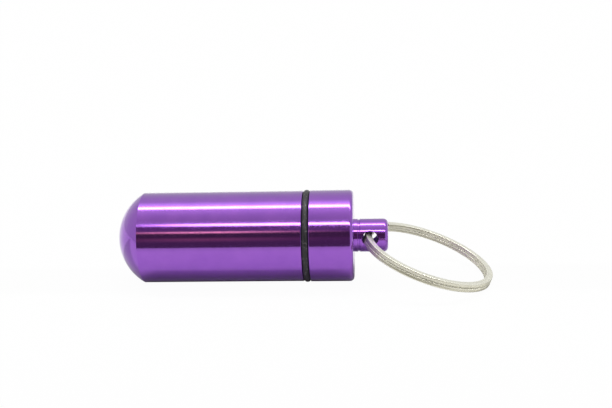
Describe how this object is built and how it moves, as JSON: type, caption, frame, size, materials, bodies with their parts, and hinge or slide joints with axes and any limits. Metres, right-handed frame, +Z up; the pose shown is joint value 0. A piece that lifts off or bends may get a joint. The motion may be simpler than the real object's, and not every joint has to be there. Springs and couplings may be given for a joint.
{
  "type": "pill fob keychain",
  "caption": "Slim domed tube with a screw cap and rubber seal for carrying pills, with a cross-drilled knob and a flat-wire split ring for keys.",
  "frame": {"origin": "under the middle of the whole object's box, on the surface it lies on", "axes": "+X along the fob from the domed end to the split ring, +Z up, +Y away from the side seen in the picture"},
  "size_m": [0.0704, 0.025, 0.0173],
  "materials": {
    "purple_anodised": "turned and anodised purple, satin gloss",
    "black_rubber": "matt charcoal rubber",
    "nickel_wire": "nickel plated spring steel"
  },
  "bodies": {
    "cap": {"cap": "purple_anodised"},
    "seal": {"o_ring": "black_rubber"},
    "tube": {"tube": "purple_anodised"},
    "split_ring": {"split_ring": "nickel_wire"}
  },
  "joints": [
    {"name": "ring_swing", "type": "hinge", "parent": "cap", "child": "split_ring", "pos_m": [0.01237, 0.00115, 0.00868], "axis": [0, 0.9962, -0.0872], "range_deg": [-131, 106]},
    {"name": "tube_travel", "type": "slide", "parent": "cap", "child": "seal", "axis": [-1, 0, 0], "range_m": [0, 0.0188]},
    {"name": "tube_turn", "type": "hinge", "parent": "seal", "child": "tube", "pos_m": [-0.00963, 0.00115, 0.00868], "axis": [-1, 0, 0], "range_deg": [0, 5400]}
  ],
  "couplings": [
    {"joint": "tube_travel", "follows": "tube_turn", "m_per_rad": 0.00019894}
  ]
}
